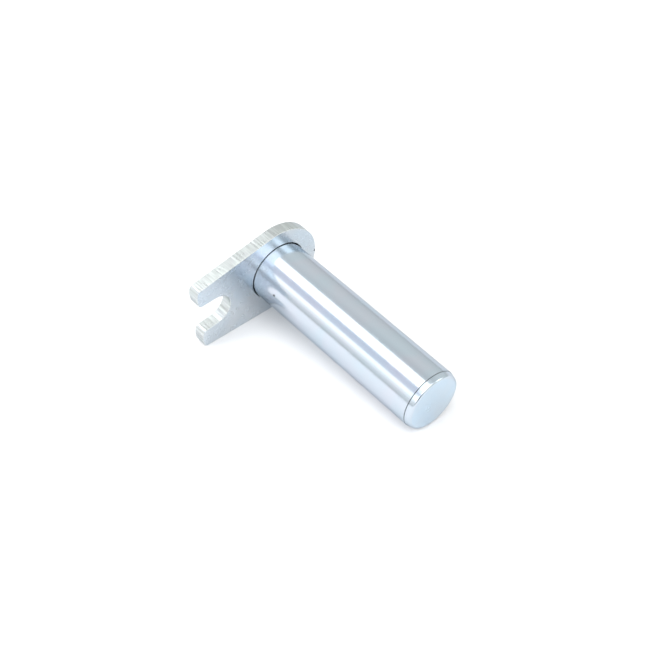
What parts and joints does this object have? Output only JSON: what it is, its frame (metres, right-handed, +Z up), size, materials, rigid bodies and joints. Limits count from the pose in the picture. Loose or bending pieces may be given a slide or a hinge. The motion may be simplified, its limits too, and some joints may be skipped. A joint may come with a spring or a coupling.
{
  "type": "hitch pin lock",
  "caption": "Plated steel hitch pin with a chamfered nose, welded square into a flat lock plate whose open slot takes a keeper bolt.",
  "frame": {"origin": "centre of the pin's flat end face on the plate side, on the pin's axis", "axes": "+X along the pin's axis towards the nose, +Z up across the plate, and the plate's slot opens towards -Y"},
  "size_m": [0.1225, 0.0739, 0.049],
  "materials": {
    "pin_zinc": "ground bar under bright zinc plate with a clear-blue passivate, glossy, with fine turned grain round the bar",
    "plate_zinc": "laser-cut plate under the same zinc plate: satin faces with a soft blue cast, and fine cut lines across the edges",
    "weld_zinc": "zinc-plated weld bead, rippled and slightly duller than the bar"
  },
  "bodies": {
    "root": {"pin": "pin_zinc", "lock_plate": "plate_zinc", "weld_bead": "weld_zinc"}
  },
  "joints": []
}
